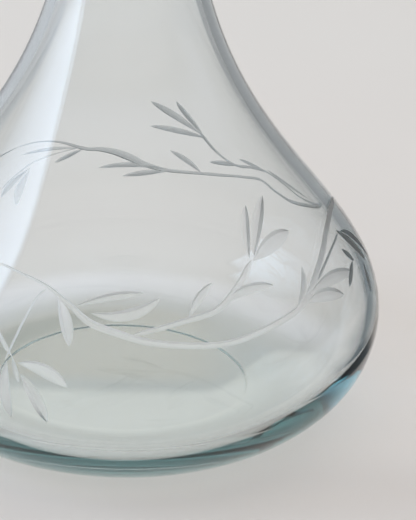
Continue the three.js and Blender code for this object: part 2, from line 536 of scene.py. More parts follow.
soft = material("sleeve_silicone")
soft_place = soft.add("TexCoord", output="Object")
clouds = soft.add("TexNoise", {}, {"Vector": soft_place, **CLOUDS})
grain = soft.add("TexNoise", {}, {"Vector": soft_place, **GRAIN})
satin = {
    "Base Color": soft.painted(SILICONE_SHADED, clouds, SILICONE_PALE),
    "Roughness": SILICONE_ROUGHNESS + clouds * CLOUD_ROUGHNESS,
    "IOR": SILICONE_IOR,
    "Transmission Weight": SILICONE_CLEARNESS,
    "Subsurface Weight": SILICONE_MILKINESS,
    "Subsurface Scale": MILKY_DEPTH,
    "Normal": soft.add("Bump", {}, {"Height": grain, **GRAIN_RELIEF}),
}
soft.add("OutputMaterial", {}, {"Surface": soft.add("BsdfPrincipled", {}, satin)})
sleeve_silicone = soft.owner
print("silicone", sleeve_silicone.name)

# %% [markdown]
# ## The line of the body
# A blown and tooled body is round, so one line turned about the axis gives it. A Screw modifier
# could turn it, but the garland has to meet its rings point for point, so Python does. The sizes
# are the CAD model's own, in millimetres. The line is sampled much more finely here, because clear
# glass shows every facet.

# %% Sizes of the body
BELLY_RADIUS = 90.0
BELLY_HEIGHT = 39.5
FOOT_RADIUS = 48.0
FOOT_RING_WIDTH = 2.0
FOOT_GRIND = 4.0
HOLLOW_RISE = 0.35
HOLLOW_SLOPE = 2.5
SHOULDER_FULLNESS = 40.5
SHOULDER_SWEEP = 103.0
NECK_START = 204.0
NECK_LENGTH = 17.0
LIP_HEIGHT = 12.0
LIP_FLARE = 4.5
BASE_THICKNESS = 9.15
FLOOR_RADIUS = 51.5
FLOOR_SWEEP = 22.0
BELLY_SWEEP = 11.0
BELLY_WALL = 4.2
NECK_WALL = 3.3
BORE_RADIUS = 17.2

neck_radius = BORE_RADIUS + NECK_WALL
lip_start = NECK_START + NECK_LENGTH
rim_top = lip_start + LIP_HEIGHT
rim_round = NECK_WALL / 2
lip_radius = neck_radius + LIP_FLARE
print("belly", 2 * BELLY_RADIUS, "mm, lip", 2 * lip_radius, "mm across, rim at", rim_top, "mm")

# %% Curves
TINY = 1e-4


def bend(points, steps):
    """A Bezier curve drawn by its control points: three make a quadratic, four a cubic."""
    level = [np.array(each, float)[None, :] for each in points]
    share = np.linspace(0, 1, steps + 1)[:, None]
    while len(level) > 1:
        level = [near * (1 - share) + far * share for near, far in zip(level, level[1:])]
    return level[0]


def arc(centre, across, up, start, end, steps):
    angle = np.radians(np.linspace(start, end, steps + 1))
    return np.stack([centre[0] + across * np.cos(angle), centre[1] + up * np.sin(angle)], 1)


def headings(line):
    """Unit directions along a line of points."""
    step = np.gradient(line, axis=0)
    return step / np.linalg.norm(step, axis=1)[:, None]


def beside(line, start, end):
    """The line moved towards the hollow, by a distance that changes along it."""
    way = headings(line)
    distance = np.linspace(start, end, len(line))[:, None]
    return line + distance * np.stack([-way[:, 1], way[:, 0]], 1)


def lengths(steps):
    """How far along a line each of its points lies, from the steps between them."""
    return np.concatenate([[0], np.cumsum(np.linalg.norm(steps, axis=1))])


def thinned(line, spacing):
    """Points of a line at an even spacing, its two ends kept."""
    length = lengths(np.diff(line[:, :2], axis=0))
    count = max(2, int(round(length[-1] / spacing)) + 1)
    at = np.linspace(0, length[-1], count)
    return np.stack([np.interp(at, length, column) for column in line.T], 1)


def straight(start, end, spacing):
    return thinned(np.array([start, end], float), spacing)


def without_repeats(line):
    keep = np.concatenate([[True], np.linalg.norm(np.diff(line, axis=0), axis=1) > TINY])
    return line[keep]


print("curves ready")

# %% The outside line, from the hollow underneath up to the rim
RING_STEPS = 14
LINE_STEPS = 600
LIP_STEPS = 100
RIM_STEPS = 40

ring_inner = FOOT_RADIUS - FOOT_RING_WIDTH
hollow_radius = ring_inner - HOLLOW_SLOPE
ring_middle = ring_inner - HOLLOW_SLOPE / 2
ring_slope = bend(
    [(hollow_radius, HOLLOW_RISE), (ring_middle, HOLLOW_RISE), (ring_middle, 0), (ring_inner, 0)],
    RING_STEPS,
)
heel_centre = FOOT_RADIUS - FOOT_GRIND
heel_width = BELLY_RADIUS - heel_centre
heel_start = math.acos(FOOT_GRIND / heel_width)
heel_rise = BELLY_HEIGHT / math.sin(heel_start)
heel = arc(
    (heel_centre, BELLY_HEIGHT), heel_width, heel_rise, -math.degrees(heel_start), 0, LINE_STEPS
)
shoulder = bend(
    [
        (BELLY_RADIUS, BELLY_HEIGHT),
        (BELLY_RADIUS, BELLY_HEIGHT + SHOULDER_FULLNESS),
        (neck_radius, NECK_START - SHOULDER_SWEEP),
        (neck_radius, NECK_START),
    ],
    LINE_STEPS,
)
lip_middle = bend(
    [
        (BORE_RADIUS + rim_round, lip_start),
        (BORE_RADIUS + rim_round, lip_start + LIP_HEIGHT / 2),
        (lip_radius - rim_round, rim_top - rim_round),
    ],
    LIP_STEPS,
)
lip_way = headings(lip_middle)[-1]
lean = math.degrees(math.atan2(-lip_way[0], lip_way[1]))
rim = arc(lip_middle[-1], rim_round, rim_round, lean, lean + 180, RIM_STEPS)
print("heel", round(heel_width, 1), "mm wide, lip leaning", round(-lean), "degrees")

# %% The inside line, from the neck down to the floor
HEEL_INSIDE_STEPS = 400

floor_height = HOLLOW_RISE + BASE_THICKNESS
inside_radius = BELLY_RADIUS - BELLY_WALL
shoulder_inside = beside(shoulder, BELLY_WALL, NECK_WALL)[::-1]
heel_inside = bend(
    [
        (inside_radius, BELLY_HEIGHT),
        (inside_radius, BELLY_HEIGHT - BELLY_SWEEP),
        (FLOOR_RADIUS + FLOOR_SWEEP, floor_height),
        (FLOOR_RADIUS, floor_height),
    ],
    HEEL_INSIDE_STEPS,
)
print("inside", 2 * inside_radius, "mm across, its floor at", floor_height, "mm")

# %% [markdown]
# ## The garland
# A wheel-cut garland of leafy twigs runs round the belly. A bump map could fake it, but real cuts
# bend the light that crosses them. It is drawn here as an engraver would lay it out: each stroke is
# a few places on the glass, given as an angle round the axis in degrees and a height in
# millimetres. Angle 0 faces the camera and grows to the viewer's right.

# %% Places on the glass
outside = np.concatenate([heel, shoulder[1:]])
outside_length = lengths(np.diff(outside, axis=0))
outside_way = headings(outside)


def along_at(height):
    """How far up the outside, along the glass, a height lies."""
    return np.interp(height, outside[:, 1], outside_length)


def radius_at(along):
    return np.interp(along, outside_length, outside[:, 0])


def degree_at(along):
    """Millimetres in one degree round the glass."""
    return np.radians(1) * radius_at(along)


def on_glass(angle, along, depth=0.0):
    """Points and outward directions for angles in degrees and distances up the outside."""
    radius = radius_at(along)
    height = np.interp(along, outside_length, outside[:, 1])
    out = np.interp(along, outside_length, outside_way[:, 1])
    down = np.interp(along, outside_length, outside_way[:, 0])
    size = np.hypot(out, down)
    out, down = out / size, down / size
    turn = np.radians(angle)
    spot_radius = radius - depth * out
    places = np.stack(
        [spot_radius * np.sin(turn), -spot_radius * np.cos(turn), height + depth * down], 1
    )
    normals = np.stack([out * np.sin(turn), -out * np.cos(turn), -down], 1)
    return places, normals


print("outside", round(float(outside_length[-1])), "mm from foot to neck")

# %% Strokes
SHALLOW_FADE = 0.65
SHALLOW_POWER = 0.8
FULL_GROUND = 0.6


class Stroke:
    """One cut: its middle line, half its width there, its depth, where its valley lies across it,
    and how much painted shade greys its frost, from none, 0, to full, 1."""

    def __init__(self, middle, half, depth, valley, coarse=0.0):
        self.middle = middle
        self.half = half
        self.depth = depth
        self.valley = valley
        self.coarse = coarse

    def moved(self, turn):
        shifted = self.middle + np.array([turn, 0.0])
        return Stroke(shifted, self.half, self.depth, self.valley, self.coarse)

    def flat_steps(self):
        """Directions along the middle line, sideways and up the glass."""
        step = np.gradient(self.middle, axis=0)
        step[:, 0] *= degree_at(self.middle[:, 1])
        return step / np.linalg.norm(step, axis=1)[:, None]

    def flat_gaps(self):
        """Steps from point to point of the middle line in millimetres."""
        gaps = np.diff(self.middle, axis=0)
        gaps[:, 0] *= degree_at((self.middle[1:, 1] + self.middle[:-1, 1]) / 2)
        return gaps

    def flat_offsets(self, places):
        """Millimetres from each point of the middle line to each place."""
        offsets = places[:, None, :] - self.middle[None, :, :]
        offsets[:, :, 0] *= degree_at(self.middle[:, 1])[None, :]
        return offsets

    def rail(self, side):
        """A line beside the middle: side is -1 to 1 across the cut, left of the way positive."""
        way = self.flat_steps()
        offset = np.stack([-way[:, 1], way[:, 0]], 1) * (self.half * side)[:, None]
        offset[:, 0] /= degree_at(self.middle[:, 1])
        return self.middle + offset

    def share(self, across):
        """How far from an outline of the cut, 0, to its valley, 1."""
        before = (1 + across) / (1 + self.valley)
        after = (1 - across) / (1 - self.valley)
        return np.clip(np.where(across < self.valley, before, after), 0, 1)

    def steep(self, across):
        return (across > self.valley) == (self.valley > 0)

    def ground(self, across, steep):
        """How much the wheel has roughened: all of the steep side, fading out on the shallow one."""
        shallow = SHALLOW_FADE + (1 - SHALLOW_FADE) * self.share(across) ** SHALLOW_POWER
        return np.where(steep, 1.0, shallow) * min(1, self.depth / FULL_GROUND)


print("strokes ready, fully ground from", FULL_GROUND, "mm of depth")

# %% Measuring a cut
REACH_MARGIN = 0.5
SMALLEST_RADIUS = 40.0
SHALLOW_CURVE = 1.6
NARROW_POWER = 0.7


def measure(stroke, places):
    """For places on the glass: depth of the cut there, side across it, and length along it."""
    depth, side, length = np.zeros((3, len(places)))
    reach = float(stroke.half.max()) + REACH_MARGIN
    margin = np.array([reach / (np.radians(1) * SMALLEST_RADIUS), reach])
    above = places > stroke.middle.min(0) - margin
    below = places < stroke.middle.max(0) + margin
    near = np.nonzero((above & below).all(1))[0]
    if not len(near):
        return depth, side, length
    offsets = stroke.flat_offsets(places[near])
    closest = (offsets**2).sum(2).argmin(1)
    offset = offsets[np.arange(len(near)), closest]
    way = stroke.flat_steps()[closest]
    forward = (offset * way).sum(1)
    left = offset[:, 1] * way[:, 0] - offset[:, 0] * way[:, 1]
    run = lengths(stroke.flat_gaps())
    at = run[closest] + forward
    half = np.interp(at, run, stroke.half)
    across = left / np.maximum(half, TINY)
    inside = (np.abs(across) < 1) & (at >= 0) & (at <= run[-1])
    share = stroke.share(across)
    slope = np.where(stroke.steep(across), share, share**SHALLOW_CURVE)
    local = stroke.depth * (half / stroke.half.max()) ** NARROW_POWER
    depth[near] = np.where(inside, local * slope, 0)
    side[near] = np.clip(across, -1, 1)
    length[near] = at
    return depth, side, length


print("cuts are measured up to", REACH_MARGIN, "mm past their edges")

# %% Stems and leaves
FLOW_STEPS = 24
STROKE_STEP = 1.1
STEM_DEPTH = 0.6
STEM_VALLEY = 0.45
STEM_TIP_WIDTH = 0.12
STEM_TIP_POINTS = 3
LEAF_STEPS = 20
LEAF_BELLY = (0.95, 0.75)
LEAF_TIP_WIDTH = 0.02
LEAF_DEPTH = 0.85
LEAF_VALLEY = 0.55


def flowing(points):
    """A smooth line through a few places, sampled evenly along the glass, with its widths."""
    places = np.array([(angle, along_at(height), width) for angle, height, width in points], float)
    padded = np.concatenate([[2 * places[0] - places[1]], places, [2 * places[-1] - places[-2]]])
    share = np.linspace(0, 1, FLOW_STEPS, endpoint=False)[:, None]
    pieces = []
    for before, start, end, after in zip(padded, padded[1:], padded[2:], padded[3:]):
        square = (2 * before - 5 * start + 4 * end - after) * share**2
        cube = (3 * start - before - 3 * end + after) * share**3
        pieces.append(0.5 * (2 * start + (end - before) * share + square + cube))
    line = np.concatenate(pieces + [places[-1:]])
    scale = np.array([degree_at(line[:, 1]).mean(), 1.0, 1.0])
    return thinned(line * scale, STROKE_STEP) / scale


def stem(points, steep=1, depth=STEM_DEPTH):
    """A stem through a few places, each an angle, a height and how wide the cut is there."""
    line = flowing(points)
    number = np.arange(len(line))
    from_tip = np.minimum(number, number[::-1])
    taper = np.minimum(1, from_tip / STEM_TIP_POINTS + STEM_TIP_WIDTH)
    return Stroke(line[:, :2], line[:, 2] / 2 * taper, depth, STEM_VALLEY * steep)


def leaf(foot, tip, width, bow=0.0, steep=1, depth=LEAF_DEPTH):
    """A leaf from its foot to its tip: bow bends it to the left, steep is the sharp-edged side."""
    start = np.array([foot[0], along_at(foot[1])])
    end = np.array([tip[0], along_at(tip[1])])
    scale = np.array([degree_at((start[1] + end[1]) / 2), 1.0])
    way = (end - start) * scale
    side = np.array([-way[1], way[0]]) * bow * 2
    middle = bend([start, (start + end) / 2 + side / scale, end], LEAF_STEPS)
    share = np.linspace(0, 1, LEAF_STEPS + 1)
    rise, fall = LEAF_BELLY
    form = share**rise * (1 - share) ** fall
    form = np.maximum(form / form.max(), LEAF_TIP_WIDTH)
    return Stroke(middle, width / 2 * form, depth, LEAF_VALLEY * steep)


print("stems", STEM_DEPTH, "mm deep, leaves", LEAF_DEPTH, "mm deep")

# %% The front twig
front = [
    stem([(-35, 79.5, 0.8), (-21.5, 77, 0.9), (-14, 73, 1.6), (-8, 68.5, 2.4), (-1.5, 66, 2.5),
          (6, 63.5, 2.4), (17.5, 61.5, 2.2), (25, 61, 2.1), (34.5, 62.5, 2.2), (45, 64.5, 2.4),
          (49.5, 66.5, 2.6), (56, 70.5, 2.8), (64, 74.5, 2.6), (72.5, 77.5, 2.4), (83.5, 78.5, 2.2),
          (97, 76, 1.6)]),
    leaf((-16.5, 74), (-12, 61.5), 4.2, 0.06, -1),
    leaf((-11.5, 72.5), (5, 76.5), 2.6, 0.05, 1),
    leaf((-8, 71), (9, 75), 4.0, -0.12, 1),
    leaf((43.5, 64), (52.5, 74.5), 2.9, -0.1, 1),
    leaf((50, 66.5), (72, 63.5), 4.8, 0.08, 1),
    leaf((48.5, 65), (62.5, 61), 4.8, 0.08, 1),
    stem([(2, 65.5, 1.6), (14, 68.5, 2.0), (23, 70.5, 2.2), (31, 76, 2.4), (37, 81, 2.0)]),
    leaf((15.5, 69), (23.5, 77.5), 2.8, 0.08, 1),
    leaf((24.5, 71.5), (40.5, 73), 3.4, 0.1, 1),
    leaf((36.5, 81.5), (43, 95), 3.6, 0.06, -1),
    leaf((38, 81.5), (52, 95.5), 4.4, 0.06, -1),
    leaf((37.5, 80.5), (55, 84), 6.0, 0.06, 1),
]
front_pendant = [
    stem([(-44, 78.5, 1.0), (-36.5, 71.5, 1.2), (-28.5, 61, 1.5), (-24.5, 56, 1.6)]),
    stem([(-20, 76, 0.8), (-22.5, 71.5, 0.8), (-26, 54.5, 0.9)]),
    leaf((-23, 54.5), (-11.5, 49.5), 4.4, 0.1, 1),
    leaf((-25.5, 54.5), (-23.5, 36), 4.2, -0.05, 1),
    leaf((-22, 51.5), (-15.5, 36.5), 4.4, 0.06, -1),
    leaf((-24.5, 56), (-22, 48.5), 1.8, 0.0, 1),
]
right_sprig = [
    stem([(55.5, 69, 1.2), (60.5, 71, 1.1), (68, 73, 1.0), (77, 74, 0.9)]),
    leaf((77, 75), (84.5, 60), 4.4, 0.03, 1),
    leaf((79, 73.5), (90, 57.5), 3.6, 0.12, 1),
    leaf((73, 70.5), (76, 65), 3.0, 0.0, 1),
    leaf((75, 65.5), (66.5, 61.5), 2.6, -0.05, 1),
    leaf((81.5, 61), (77, 53), 3.4, -0.05, 1),
]
print("front twig of", len(front + front_pendant), "strokes, right sprig of", len(right_sprig))

# %% The twig at the back
back = [
    stem([(97, 76, 1.6), (104, 73, 1.8), (116, 64.5, 2.0), (129, 57.5, 2.2), (135, 58.5, 2.0),
          (139.5, 62, 1.8), (145.5, 60, 1.6), (155.5, 56, 1.6), (163, 54, 1.8), (169.5, 53.5, 2.2),
          (175, 55.5, 3.4), (179, 59, 4.4), (183, 62, 4.0), (187.5, 64, 3.0), (192, 65, 2.2),
          (200.5, 71, 1.3), (208.5, 74, 0.9), (216, 74.5, 0.8)], -1),
    leaf((192.5, 65), (200, 59), 2.6, 0.0, -1),
    leaf((192.5, 65), (212.5, 68.5), 2.4, 0.04, -1, depth=0.3),
    leaf((169, 54), (187.5, 53.5), 3.0, 0.05, -1),
    leaf((168, 53.5), (181, 49), 2.8, 0.0, -1),
    leaf((159.5, 55), (167.5, 65), 3.4, 0.05, -1),
    stem([(104, 73, 1.4), (110, 69, 1.5), (117, 65.5, 1.6), (124, 64, 1.7), (129, 67, 1.7),
          (134, 69.5, 1.7), (141, 68, 1.7), (147.5, 65.5, 1.7), (152.5, 70.5, 1.8), (155.5, 80, 2.0)],
         -1),
    leaf((154.5, 78), (171, 93), 4.8, 0.03, -1),
    leaf((154.5, 79), (160.5, 95), 3.2, 0.0, -1),
    leaf((153.5, 77), (172.5, 78.5), 4.6, 0.0, -1),
    leaf((146, 66), (156, 62.5), 3.0, 0.0, -1),
    leaf((133.5, 69), (144.5, 70), 2.8, 0.05, -1),
    leaf((117.5, 67), (133, 71.5), 3.0, -0.07, -1),
]
back_pendant = [
    stem([(193, 66, 1.0), (202.5, 63.5, 1.1), (207.5, 61, 1.2), (211.5, 56, 1.4), (214.5, 50.5, 1.4)],
         depth=0.15),
    leaf((207, 59), (214, 46.5), 3.8, 0.05, 1, depth=0.35),
    leaf((207, 57.5), (209, 40.5), 4.0, 0.05, 1, depth=0.35),
]
print("back twig of", len(back + back_pendant), "strokes")

# %% The twig on the left, out of the picture
left = [
    stem([(216, 74.5, 1.0), (223, 72, 1.4), (231, 68, 2.2), (240, 64.5, 2.4), (251, 62, 1.8),
          (262, 61, 1.4), (272, 62, 1.4), (282, 65, 1.5), (291, 67.5, 1.5), (300, 71.5, 1.5),
          (309, 76, 1.3), (319, 79, 1.0), (325, 79.5, 0.8)]),
    leaf((226, 71.5), (243, 74.5), 3.8, -0.1, 1),
    leaf((224, 72), (231, 60), 4.0, 0.06, -1),
    leaf((284, 65.5), (293, 76), 3.2, -0.1, 1),
    leaf((289, 66.5), (309, 64.5), 3.6, 0.08, 1),
    leaf((287, 65.5), (300, 61), 3.4, 0.08, 1),
    stem([(240, 64.5, 1.2), (252, 68.5, 1.3), (261, 70.5, 1.4), (270, 76, 1.5), (276, 81, 1.6)]),
    leaf((254, 69), (262, 77.5), 2.8, 0.08, 1),
    leaf((264, 72.5), (279, 72.5), 3.0, 0.1, 1),
    leaf((275.5, 81.5), (282, 95), 3.6, 0.06, -1),
    leaf((277, 82), (291, 95), 4.2, 0.08, 1),
    leaf((278.5, 81), (293.5, 84), 5.0, 0.06, 1),
]
print("left twig of", len(left), "strokes")

# %% Deeper cuts, and painted shade on the far strokes
FAR_DEEPER = 1.45

for each in back + right_sprig:
    each.depth *= FAR_DEEPER
    each.coarse = 1.0
garland = front + front_pendant + right_sprig + back + back_pendant + left
print("garland of", len(garland), "strokes")

# %% [markdown]
# ## Cutting the garland into the glass
# The cuts are real grooves, each a lopsided valley with one steep side, as a wheel leaves it.
# Boolean modifiers could cut them, but they leave ragged triangles that clear glass would show. So
# the belt of glass that carries them is laid out flat, every outline and valley is drawn into a
# Delaunay triangulation, and the flat net is then wrapped round the body with the grooves sunk in.
# Between the strokes the net is wide, so the mesh stays light.

# %% Lay out the belt
FULL_TURN = 360
SIDES = 192
BELT_LOW = 28.0
BELT_HIGH = 104.0
BELT_MARGIN = 20

side_angle = FULL_TURN / SIDES
belt_start = float(along_at(BELT_LOW))
belt_end = float(along_at(BELT_HIGH))
edge_count = SIDES // 2 + round(BELT_MARGIN / side_angle)
edge_angles = np.arange(-edge_count, edge_count + 1) * side_angle

strokes = []
for each in garland:
    for turns in (-2, -1, 0, 1):
        copy = each.moved(turns * FULL_TURN)
        if copy.middle[:, 0].max() > edge_angles[0] and copy.middle[:, 0].min() < edge_angles[-1]:
            strokes.append(copy)
print(len(strokes), "strokes on the belt and its margins")

# %% Edges of the belt, outlines and valleys of the strokes
EDGE_CLEAR = 1.0
FEWEST_POINTS = 3
INNER_RAILS = (-0.6, -0.2, 0.2, 0.6)
WIDE_CUT = 0.9
VALLEY_CLEAR = 0.25

first_angle = edge_angles[0] + EDGE_CLEAR
last_angle = edge_angles[-1] - EDGE_CLEAR
net_points = []
net_lines = []


def draw(line, closed=False):
    """Adds a line of places to the net, all of it an edge of the triangles to come."""
    first = len(net_points)
    net_points.extend(line)
    last = len(net_points) - 1
    net_lines.extend((number, number + 1) for number in range(first, last))
    if closed:
        net_lines.append((last, first))


for belt_edge in (belt_start, belt_end):
    draw(np.stack([edge_angles, np.full(len(edge_angles), belt_edge)], 1))
for each in strokes:
    keep = (each.middle[:, 0] > first_angle) & (each.middle[:, 0] < last_angle)
    if keep.sum() < FEWEST_POINTS:
        continue
    draw(np.concatenate([each.rail(-1.0)[keep], each.rail(1.0)[keep][::-1]]), closed=True)
    draw(each.rail(each.valley)[keep][1:-1])
    for side in INNER_RAILS:
        wide = keep & (each.half > WIDE_CUT) & (abs(side - each.valley) > VALLEY_CLEAR)
        net_points.extend(each.rail(side)[wide])
print("net of", len(net_lines), "lines")

# %% Loose points between the strokes
FLAT_RADIUS = 75.0
NET_SIZE = 4.4
NET_SHAKE = 0.22
NET_SEED = 7
STROKE_CLEAR = 0.9

columns = int(round(2 * math.pi * FLAT_RADIUS / NET_SIZE))
rows = int(round((belt_end - belt_start) / NET_SIZE))
shake = np.random.default_rng(NET_SEED).uniform(-NET_SHAKE, NET_SHAKE, (columns, rows + 1, 2))
loose = []
for column in range(-columns, columns + 1):
    for row in range(1, rows):
        nudge = shake[column % columns, row]
        angle = (column + 0.5 * (row % 2) + nudge[0]) * FULL_TURN / columns
        along = belt_start + (row + nudge[1]) * (belt_end - belt_start) / rows
        if first_angle < angle < last_angle:
            loose.append((angle, along))
loose = np.array(loose)
free = np.ones(len(loose), bool)
for each in strokes:
    clearance = np.sqrt((each.flat_offsets(loose)**2).sum(2)) - each.half[None, :]
    free &= clearance.min(1) > STROKE_CLEAR
net_points.extend(loose[free])
print("net of", len(net_points), "points,", int(free.sum()), "of them between the strokes")

# %% Triangles of the belt
WELD = 1e-3
SLIVER = 1e-7

flat_degree = np.radians(1) * FLAT_RADIUS
flat_points = [Vector((place[0] * flat_degree, place[1])) for place in net_points]
found = delaunay_2d_cdt(flat_points, net_lines, [], 0, WELD, False)
belt_places = np.array([(x / flat_degree, y) for x, y in found[0]])
belt_faces = np.array(found[2])
corner = belt_places[belt_faces]
one_side = corner[:, 1] - corner[:, 0]
other_side = corner[:, 2] - corner[:, 0]
signed_area = one_side[:, 0] * other_side[:, 1] - one_side[:, 1] * other_side[:, 0]
belt_faces[signed_area < 0] = belt_faces[signed_area < 0][:, ::-1]
belt_faces = belt_faces[np.abs(signed_area) > SLIVER]
middle_angle = belt_places[belt_faces][:, :, 0].mean(1)
belt_faces = belt_faces[(middle_angle >= -FULL_TURN / 2) & (middle_angle < FULL_TURN / 2)]
print("belt of", len(belt_faces), "triangles")

# %% Depth of the cuts, and places along them
belt_depth = np.zeros(len(belt_places))
stroke_side = np.zeros((len(strokes), len(belt_places)))
stroke_place = np.zeros((len(strokes), len(belt_places), 2))
face_middle = belt_places[belt_faces].mean(1)
face_depth = np.full(len(belt_faces), TINY)
face_class = np.full(len(belt_faces), -1)
for number, each in enumerate(strokes):
    depth, side, length = measure(each, belt_places)
    half = np.interp(length, np.arange(len(each.half)) * STROKE_STEP, each.half)
    belt_depth = np.maximum(belt_depth, depth)
    stroke_side[number] = side
    stroke_place[number] = np.stack([length, side * half], 1)
    depth, side, _ = measure(each, face_middle)
    deeper = depth > face_depth
    face_depth[deeper] = depth[deeper]
    face_class[deeper] = (2 * number + each.steep(side))[deeper]
face_cut = face_class >= 0
print("cut triangles", int(face_cut.sum()), "deepest", round(float(belt_depth.max()), 2), "mm")

# %% [markdown]
# ## Turning the body
# Below and above the belt the body is a plain turned surface. Its rings meet the belt point for
# point, so the whole glass is one closed skin, outside and inside. Separate shells would be easier,
# but light bends rightly only where one skin parts the glass from the air.

# %% Lines of the turned parts
FINE = 2.4
RING_FINE = 0.7
LIP_FINE = 1.2
RIM_FINE = 0.5


def outside_between(start, end, spacing):
    count = max(2, int(round((end - start) / spacing)) + 1)
    at = np.linspace(start, end, count)
    return np.stack([np.interp(at, outside_length, column) for column in outside.T], 1)


lower_line = without_repeats(np.concatenate([
    straight((0, HOLLOW_RISE), (hollow_radius, HOLLOW_RISE), FINE),
    ring_slope[1:],
    straight((ring_inner, 0), (FOOT_RADIUS, 0), RING_FINE)[1:],
    outside_between(0, belt_start, FINE)[1:],
]))
upper_line = without_repeats(np.concatenate([
    outside_between(belt_end, outside_length[-1], FINE),
    thinned(beside(lip_middle, -rim_round, -rim_round), LIP_FINE),
    thinned(rim, RIM_FINE)[1:],
    thinned(beside(lip_middle, rim_round, rim_round)[::-1], LIP_FINE)[1:],
    thinned(shoulder_inside, FINE),
    thinned(heel_inside, FINE)[1:],
    straight((FLOOR_RADIUS, floor_height), (0, floor_height), FINE)[1:],
]))
print("rings below the belt", len(lower_line), "and above it", len(upper_line))

# %% Skin builder
ON_AXIS = 1e-6
ring_turns = np.radians(-FULL_TURN / 2 + side_angle * np.arange(SIDES))


class Skin:
    """Points, faces and corner directions of one closed surface that is still being made."""

    def __init__(self):
        self.points = []
        self.faces = []
        self.corners = []
        self.ground = []
        self.coarse = []
        self.strokes = []

    def ring(self, radius, height):
        """Adds a ring of points, or one point on the axis, and returns the number of the first."""
        first = len(self.points)
        if radius < ON_AXIS:
            self.points.append((0.0, 0.0, height))
        else:
            across, towards = radius * np.sin(ring_turns), -radius * np.cos(ring_turns)
            self.points.extend(zip(across, towards, np.full(SIDES, height)))
        return first

    def face(self, points, directions, ground=None, places=None, coarse=0.0):
        self.faces.append(tuple(points))
        self.corners.extend(directions)
        self.ground.extend(ground if ground is not None else [0.0] * len(points))
        self.coarse.extend([coarse] * len(points))
        self.strokes.extend(places if places is not None else [(0.0, 0.0)] * len(points))

    def turn(self, line):
        """Turns a line into rings of faces, and returns where its first and last rings start."""
        way = headings(line)
        out, up = way[:, 1], -way[:, 0]
        starts = [self.ring(radius, height) for radius, height in line]
        for low in range(len(line) - 1):
            high = low + 1
            for here in range(SIDES):
                after = (here + 1) % SIDES
                points = []
                directions = []
                for ring, column in ((low, here), (low, after), (high, after), (high, here)):
                    pole = line[ring][0] < ON_AXIS
                    spot = starts[ring] + (0 if pole else column)
                    if spot in points:
                        continue
                    points.append(spot)
                    turn = ring_turns[column]
                    directions.append(
                        (0.0, 0.0, math.copysign(1.0, up[ring])) if pole
                        else (out[ring] * math.sin(turn), -out[ring] * math.cos(turn), up[ring])
                    )
                self.face(points, directions)
        return starts[0], starts[-1]


print("skins turned in", SIDES, "sides")

# %% From a skin to a mesh
MM = 0.001


def piece(skin, name, finish):
    """Makes a skin's mesh, with its attributes for the cuts and the map along the strokes."""
    mesh = bpy.data.meshes.new(name)
    mesh.from_pydata([tuple(MM * part for part in point) for point in skin.points], [], skin.faces)
    mesh.materials.append(finish)
    for label, values in (("cut", skin.ground), ("coarse", skin.coarse)):
        mesh.attributes.new(label, "FLOAT", "CORNER").data.foreach_set("value", values)
    mesh.polygons.foreach_set("use_smooth", [True] * len(skin.faces))
    stroke_layer = mesh.uv_layers.new(name="strokes")
    stroke_layer.data.foreach_set("uv", np.array(skin.strokes, float).ravel() * MM)
    mesh.normals_split_custom_set(skin.corners)
    mesh.update()
    made = bpy.data.objects.new(name, mesh)
    bpy.context.scene.collection.objects.link(made)
    return made


def open_edges(mesh):
    """How many edges have not two faces: none in a closed skin."""
    counts = {}
    for polygon in mesh.polygons:
        for edge in polygon.edge_keys:
            counts[edge] = counts.get(edge, 0) + 1
    return sum(1 for count in counts.values() if count != 2)


print("skins in millimetres, meshes in metres")

# %% Points of the body
WELD_GRID = 200

body_skin = Skin()
_, lower_end = body_skin.turn(lower_line)
upper_start, _ = body_skin.turn(upper_line)
belt_points, belt_normals = on_glass(belt_places[:, 0], belt_places[:, 1], belt_depth)
spot_of = np.full(len(belt_places), -1)
welded = {}
for point in np.unique(belt_faces):
    angle, along = belt_places[point]
    column = int(round((angle + FULL_TURN / 2) / side_angle)) % SIDES
    if abs(along - belt_start) < TINY:
        spot_of[point] = lower_end + column
    elif abs(along - belt_end) < TINY:
        spot_of[point] = upper_start + column
    else:
        grid_angle = round((angle % FULL_TURN) * WELD_GRID) % (FULL_TURN * WELD_GRID)
        key = (grid_angle, round(along * WELD_GRID))
        if key not in welded:
            welded[key] = len(body_skin.points)
            body_skin.points.append(tuple(belt_points[point]))
        spot_of[point] = welded[key]
print("body of", len(body_skin.points), "points")

# %% Directions on the cut faces
corner_points = belt_points[belt_faces]
face_normal = np.cross(
    corner_points[:, 1] - corner_points[:, 0], corner_points[:, 2] - corner_points[:, 0]
)
gathered = {}
for number in np.nonzero(face_cut)[0]:
    for spot in spot_of[belt_faces[number]]:
        key = (spot, face_class[number])
        gathered[key] = gathered.get(key, 0) + face_normal[number]
print("directions gathered at", len(gathered), "corners")

# %% Faces of the belt
SHALLOW_BLEND = 4


def unit(vector):
    return vector / np.linalg.norm(vector)


for number, points in enumerate(belt_faces):
    spots = spot_of[points]
    if len(set(spots)) < len(points):
        continue
    if not face_cut[number]:
        body_skin.face(spots, [tuple(belt_normals[point]) for point in points])
        continue
    kind = face_class[number]
    stroke = strokes[kind // 2]
    steep = bool(kind % 2)
    side = stroke_side[kind // 2, points]
    directions = []
    for spot, point, share in zip(spots, points, stroke.share(side)):
        way = unit(gathered[(spot, kind)])
        if not steep:
            blend = min(1, share * SHALLOW_BLEND)
            way = unit(way * blend + belt_normals[point] * (1 - blend))
        directions.append(tuple(way))
    places = [tuple(place) for place in stroke_place[kind // 2, points]]
    body_skin.face(spots, directions, stroke.ground(side, steep), places, stroke.coarse)
print("body of", len(body_skin.faces), "faces")

# %% The glass body
glass_body = piece(body_skin, "glass_body", body_glass)
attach(glass_body, "decanter")
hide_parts("decanter_body")
print("glass body:", open_edges(glass_body.data), "open edges")

